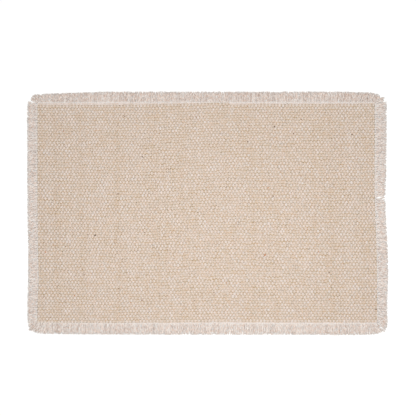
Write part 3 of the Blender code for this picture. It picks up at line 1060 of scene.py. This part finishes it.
class PLACEMAT_OT_fringes(bpy.types.Operator):
    """Opens the ends of the warp and weft yarns into their plies"""

    bl_idname = "placemat.fringes"
    bl_label = "Fringes"

    def execute(self, context):
        weave = Weave(context)
        colours = context.scene.placemat_colours
        material = cotton(
            "undyed cotton, ravelled ends", colours.strand_light, colours.strand_deep,
            plies=2, lay_length=5 * MM, streaks=2.3, streak_length=4 * MM, patch=2 * MM, patchiness=2.4,
        )
        for side in SIDES:
            self.ravel(context, weave, side, material)
        return {"FINISHED"}

    def ravel(self, context, weave, side, material):
        fringe = context.scene.placemat_fringe
        of_warp = side.along.x > 0
        plies = fringe.warp_plies if of_warp else fringe.weft_plies
        along_axis, out_axis = (0, 1) if of_warp else (1, 0)
        outward = sum(side.out)
        roots, root_z = yarn_ends(weave, side)
        spacing = np.gradient(roots[:, along_axis])
        root_spread = WARP_ROOT_SPREAD if of_warp else WEFT_ROOT_SPREAD

        tubes = len(roots) * plies
        yarn_of, ply_of = np.divmod(np.arange(tubes), plies)
        chance = np.random.default_rng(side.seed)
        offset = ((ply_of + 0.5) / plies - 0.5) * spacing[yarn_of]
        own_place = roots[yarn_of, along_axis] + offset
        length = station(side.stations, "strand", own_place) * MM
        length = length * (FREE_LENGTH - fringe.ragged * np.abs(chance.normal(0, 1, tubes)))
        clump = unevenness(side.seed + 10, 1, (11, 19, 37))(np.zeros(tubes, int), own_place)
        upper = (ply_of % 2 + chance.uniform(0, 1, tubes)) / 2
        lean = station(side.stations, "lean", own_place)
        fan = 1 + FAN_WIDENING * length * np.abs(np.gradient(np.radians(lean), own_place))
        stray = CLUMP_LEAN * clump + PLY_LEAN * chance.normal(0, 1, tubes)
        lean = np.radians(lean + stray * (LOW_LEAN + (1 - LOW_LEAN) * upper**2))
        from_corner = np.linalg.norm(roots - np.array(CURLED_CORNER), axis=1)[yarn_of]
        bend = BEND + (CURLED_BEND - BEND) * np.clip(1 - from_corner / CURL_REACH, 0, 1)
        layer = fringe.pile * upper
        swerve = unevenness(side.seed + 20, tubes, (8, 21))
        specks = unevenness(side.seed + 30, tubes, (5, 8))
        phase = chance.uniform(0, math.tau, tubes)
        plump = 1 + PLY_SLUB * chance.normal(0, 1, tubes)
        ply_tone = PLY_TONE * chance.normal(0, 1, tubes)
        ply_tone = ply_tone + BUNCH_TONE * chance.normal(0, 1, len(roots))[yarn_of]
        # Painted shade on the lower plies, under the upper ones:
        ply_tone = ply_tone + LOWER_PLY_SHADE_TONE * (upper - 0.5) + side.tone
        if side.node == "fringe_right":
            lost = yarn_of == np.argmin(np.abs(roots[:, 1] - LOST_TUFT))
            kept = lost & (ply_of == 0)
            aside = own_place - roots[:, 1][lost.argmax() // plies]
            parting = np.sign(aside) * np.exp(-np.abs(aside) / PARTING_REACH)
            lean = np.where(kept, math.radians(KEPT_LEAN), lean + np.radians(PARTING) * parting)
            length = np.where(lost & ~kept, STUB, length)

        def route(tube, share):
            gone = length[tube] * share
            open_out = root_spread + (TIP_SPREAD - root_spread) * smooth(share / OPEN_SHARE)
            along = roots[yarn_of[tube], along_axis] + offset[tube] * open_out
            along = along + np.sin(lean[tube]) * gone * np.clip(share, 0, None) ** bend[tube]
            crimp = fringe.crimp * np.sin(math.tau * gone / CRIMP_LENGTH + phase[tube])
            loosened = smooth(share / LOOSE_SHARE)
            along = along + loosened * (crimp + SWERVE * swerve(tube, gone))
            out = roots[yarn_of[tube], out_axis]
            out = out + outward * (np.cos(lean[tube]) * gone - PLY_INSET * (1 - share))
            rest = fringe.ply_height / 2 + layer[tube] * (1 - TIP_SINK * share)
            z = rest + (root_z[yarn_of[tube]] - rest) * (1 - loosened)
            z = z + loosened * crimp * CRIMP_RISE * np.cos(phase[tube])
            places = np.empty((len(tube), 3))
            places[:, along_axis], places[:, out_axis], places[:, 2] = along, out, z
            return places

        def section(tube, share):
            slim = (1 + TIP_FLUFF * share) * np.where(share > CUT_SHARE, CUT_TAPER, 1) * plump[tube]
            wider = 1 + (fan[tube] - 1) * share
            return fringe.ply_width / 2 * slim * wider, fringe.ply_height / 2 * slim

        mean_length = float(length.mean())
        pitch = 2 * (HALF_LENGTH if of_warp else HALF_WIDTH) / tubes
        step = mean_length / (PLY_RINGS - 1)
        corner = Vector((CLOTH_LOW.x, CLOTH_LOW.y, MIDDLE))
        if outward > 0:
            corner[out_axis] = (CLOTH_HIGH.x, CLOTH_HIGH.y)[out_axis]
        corner[along_axis] += pitch / 2
        rank = Rank(
            side.node.replace("fringe", "strands"), corner, side.out, side.along, tubes, PLY_RINGS,
            step, pitch, PLY_SIDES, pitch * NOMINAL_FILL, 2 * (fringe.ply_width + fringe.ply_height),
        )
        piece, tube, share, turn = lay_tubes(rank, route, section)
        # Painted light at the root and at the cut tip; the outer fibre's soiling and the specks are the
        # fringe's own.
        tone = ply_tone[tube] + ROOT_LIGHT_TONE * (1 - smooth(share / ROOT_SHARE))
        tone = tone - OUTER_TONE * smooth(share / OUTER_SHARE - OUTER_START)
        tone = tone + TIP_LIGHT_TONE * (share > CUT_SHARE)
        tone = tone + SPECK_TONE * specks(tube, share * mean_length)
        mark_yarn(piece, turn, share * mean_length + tube * FIBRE_SHIFT, tone)
        finish_piece(piece, material, side.node)


# ---- Stay stitching and seed husks ----

STITCH_LENGTH = 3.0 * MM
THREAD_THICKNESS = 0.7 * MM
THREAD_SIDES = 5
STITCH_RINGS = 5
STITCH_OUTSIDE = 1.0 * MM  # beyond the cloth's edge
STITCH_RISE = 0.75 * MM  # above and below the middle of the cloth
HOLE_RISE = 0.15 * MM
STITCH_FULLNESS = 0.5  # a stitch bulges as the sine of its length ** this


class PLACEMAT_OT_stay_stitching(bpy.types.Operator):
    """Sews a row of lock stitches round the cloth, which keeps it from ravelling further"""

    bl_idname = "placemat.stay_stitching"
    bl_label = "Stay stitching"

    def execute(self, context):
        line = []
        for side in SIDES:
            first, last = side.stations[0].along * MM, side.stations[-1].along * MM
            count = round((last - first) / STITCH_LENGTH)
            holes = np.linspace(first, last, count + 1)
            out = edge(side.stations, holes) + STITCH_OUTSIDE
            plan = np.outer(holes, side.along) + np.outer(out, side.out)
            for face in (1, -1):
                line += [(start, end, face) for start, end in zip(plan, plan[1:])]
        starts, ends, faces = (np.array(column, float) for column in zip(*line))

        def route(tube, share):
            places = starts[tube] + (ends[tube] - starts[tube]) * share[:, None]
            bulge = np.sin(math.pi * np.clip(share, 0, 1)) ** STITCH_FULLNESS
            places[:, 2] = MIDDLE + faces[tube] * (HOLE_RISE + (STITCH_RISE - HOLE_RISE) * bulge)
            return places

        def section(tube, share):
            half = np.full(len(tube), THREAD_THICKNESS / 2)
            return half, half

        corner = Vector((CLOTH_LOW.x, CLOTH_LOW.y, MIDDLE))
        step = STITCH_LENGTH / (STITCH_RINGS - 1)
        rank = Rank(
            "stay_stitching", corner, ALONG_Y, ALONG_X, len(line), STITCH_RINGS, step,
            2 * THREAD_THICKNESS, THREAD_SIDES, THREAD_THICKNESS / 2, math.pi * THREAD_THICKNESS,
        )
        piece, tube, share, turn = lay_tubes(rank, route, section)
        mark_yarn(piece, turn, share * STITCH_LENGTH, np.zeros(len(tube)))
        finish_piece(piece, spun_thread(context.scene.placemat_colours.thread), None)
        return {"FINISHED"}


# The bits of seed coat and stalk that stand out on the upper face: place, length and width in
# millimetres, slant in degrees from the weft, and tone from 0, dark husk, to 1, straw.
Fleck = namedtuple("Fleck", "x y length width turn tone")

FLECKS = table(
    Fleck,
    (-148, -30, 2.8, 2.1, 30, 0.0), (97, -89, 2.7, 2.3, 0, 0.1), (89, 114, 2.4, 2.0, 70, 0.1),
    (54, 94, 2.4, 1.9, 20, 0.1), (192, 104, 2.5, 1.9, 110, 0.1), (224, -128, 2.8, 1.9, 0, 0.1),
    (-127, 99, 2.4, 1.9, 45, 0.15), (-86, 74, 2.3, 1.8, 0, 0.15), (-109, 128, 1.9, 1.5, 90, 0.2),
    (-118, 25, 2.3, 1.7, 120, 0.2), (-187, -45, 1.9, 1.5, 60, 0.3), (-165, -75, 1.9, 1.5, 10, 0.3),
    (-163, -82, 1.9, 1.6, 80, 0.2), (-86, -116, 2.5, 2.0, 0, 0.3), (-17, -117, 2.1, 1.7, 20, 0.2),
    (-117, -101, 1.6, 1.2, 90, 0.2), (-82, -26, 2.1, 1.9, 135, 0.15), (125, 124, 2.1, 1.5, 0, 0.2),
    (98, 54, 1.8, 1.5, 0, 0.4), (88, 22, 2.2, 1.7, 60, 0.15), (115, 105, 1.8, 1.4, 30, 0.2),
    (162, -79, 1.7, 1.6, 0, 0.2), (155, -141, 2.5, 2.0, 100, 0.2), (-27, 155, 1.9, 1.5, 90, 0.1),
    (-36, 151, 1.6, 1.2, 70, 0.2), (-214, -52, 2.5, 1.9, 0, 0.8), (-176, -110, 2.2, 1.5, 15, 0.8),
    (81, 33, 2.0, 1.5, 90, 0.9), (148, -52, 2.4, 1.8, 0, 0.9), (77, -56, 3.0, 2.2, 20, 0.75),
    (193, -112, 3.5, 1.2, 0, 0.9), (-190, 108, 1.8, 1.3, 50, 0.6),
)
SMALL_FLECKS = 240  # scattered by chance over the two faces
SMALL_REACH = 0.98  # how far out they lie, as a share of the cloth
SMALL_LENGTHS = (0.8, 1.7)  # their shortest and longest, in millimetres
SMALL_WIDTHS = (0.7, 1.2)
SMALL_TONES = (0.1, 1.0)
ANY_SLANT = (0, 180)
FLECK_THICKNESS = 0.5 * MM
FLECK_RADIUS = 1.0 * MM  # before it is laid
FLECK_SPACING = 4 * FLECK_RADIUS
FLECK_ROUGHNESS = 0.18  # how uneven its outline is
FLECK_SUNK = 0.05 * MM  # how deep in the fibre its middle lies
FLECK_TOP = CLOTH_THICKNESS + FLECK_THICKNESS / 4  # the highest that it stands
LOOK_FROM = 20.0 * MM  # the height that a bit's place on the cloth is looked for from
LOOK_ASIDE = 0.5 * MM  # how far aside a yarn is looked for where there is a gap


class PLACEMAT_OT_seed_flecks(bpy.types.Operator):
    """Presses bits of seed coat and stalk into both faces of the cloth"""

    bl_idname = "placemat.seed_flecks"
    bl_label = "Seed flecks"

    def execute(self, context):
        chance = np.random.default_rng(31)
        flecks = [(fleck, 1) for fleck in FLECKS]
        for number in range(SMALL_FLECKS):
            x, y = chance.uniform(-SMALL_REACH, SMALL_REACH, 2) * (HALF_LENGTH / MM, HALF_WIDTH / MM)
            ranges = SMALL_LENGTHS, SMALL_WIDTHS, ANY_SLANT, SMALL_TONES
            small = Fleck(x, y, *(chance.uniform(*ends) for ends in ranges))
            flecks.append((small, (1, -1)[number % 2]))

        bpy.ops.object.select_all(action="DESELECT")
        bpy.ops.mesh.primitive_ico_sphere_add(subdivisions=1, radius=FLECK_RADIUS)
        piece = context.object
        piece.name = piece.data.name = "seed_flecks"
        repeat(piece, Vector((FLECK_SPACING, 0, 0)), len(flecks), merge=False)
        points = read(piece.data.vertices, "co", 3)
        which = np.rint(points[:, 0] / FLECK_SPACING).astype(int)
        points[:, 0] -= which * FLECK_SPACING
        points *= (1 + FLECK_ROUGHNESS * chance.normal(0, 1, len(points)))[:, None] / FLECK_RADIUS

        woven = [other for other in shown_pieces() if other.name.startswith(("warp", "weft", "strands"))]
        depsgraph = context.evaluated_depsgraph_get()
        tone = np.empty(len(points))
        for number, (fleck, face) in enumerate(flecks):
            middle, normal = self.touch(woven, depsgraph, fleck, face)
            normal = (normal + Vector((0, 0, face))).normalized()
            slant = math.radians(fleck.turn)
            across = normal.cross(Vector((math.cos(slant), math.sin(slant), 0))).normalized()
            ahead = across.cross(normal)
            own = which == number
            half_length, half_width = ahead * fleck.length / 2 * MM, across * fleck.width / 2 * MM
            reach = np.array([half_length, half_width, normal * FLECK_THICKNESS / 2])
            points[own] = points[own] @ reach + np.array(middle - normal * FLECK_SUNK)
            tone[own] = fleck.tone
        points[:, 2] = np.clip(points[:, 2], 0, FLECK_TOP)
        piece.data.vertices.foreach_set("co", points.ravel())
        piece.data.update()
        write_attribute(piece, "tone", "FLOAT", tone)
        colours = context.scene.placemat_colours
        finish_piece(piece, seed_husk(colours.husk, colours.straw), None)
        return {"FINISHED"}

    def touch(self, woven, depsgraph, fleck, face):
        """Where a bit lies on the outermost yarn, seen from its face, and which way the yarn faces."""
        for aside_x, aside_y in product((0, LOOK_ASIDE, -LOOK_ASIDE), repeat=2):
            start = Vector((fleck.x * MM + aside_x, fleck.y * MM + aside_y, face * LOOK_FROM))
            hits = [other.ray_cast(start, -face * UP, depsgraph=depsgraph) for other in woven]
            found = [(place, normal) for hit, place, normal, _ in hits if hit]
            if found:
                return max(found, key=lambda hit: face * hit[0].z)
        raise RuntimeError(f"no yarn at {fleck.x}, {fleck.y}")


# ---- The add-on ----

OPERATORS = (
    PLACEMAT_OT_studio,
    PLACEMAT_OT_warp_yarns,
    PLACEMAT_OT_weft_yarns,
    PLACEMAT_OT_fringes,
    PLACEMAT_OT_stay_stitching,
    PLACEMAT_OT_seed_flecks,
)


class VIEW3D_PT_placemat(bpy.types.Panel):
    """Lists the steps that make the placemat, and its sizes and colours"""

    bl_label = "Placemat"
    bl_space_type = "VIEW_3D"
    bl_region_type = "UI"
    bl_category = "Placemat"

    def draw(self, context):
        for operator in OPERATORS:
            self.layout.operator(operator.bl_idname)
        for group in PROPERTY_GROUPS:
            box = self.layout.box()
            settings = getattr(context.scene, group)
            for name in settings.bl_rna.properties.keys():
                if name not in ("rna_type", "name"):
                    box.prop(settings, name)


def register():
    for group, kind in PROPERTY_GROUPS.items():
        bpy.utils.register_class(kind)
        setattr(bpy.types.Scene, group, bpy.props.PointerProperty(type=kind))
    for kind in (*OPERATORS, VIEW3D_PT_placemat):
        bpy.utils.register_class(kind)


def unregister():
    for kind in reversed((*OPERATORS, VIEW3D_PT_placemat)):
        bpy.utils.unregister_class(kind)
    for group, kind in reversed(PROPERTY_GROUPS.items()):
        delattr(bpy.types.Scene, group)
        bpy.utils.unregister_class(kind)


def main():
    register()
    for operator in OPERATORS:
        area, name = operator.bl_idname.split(".")
        getattr(getattr(bpy.ops, area), name)()


if __name__ == "__main__":
    main()
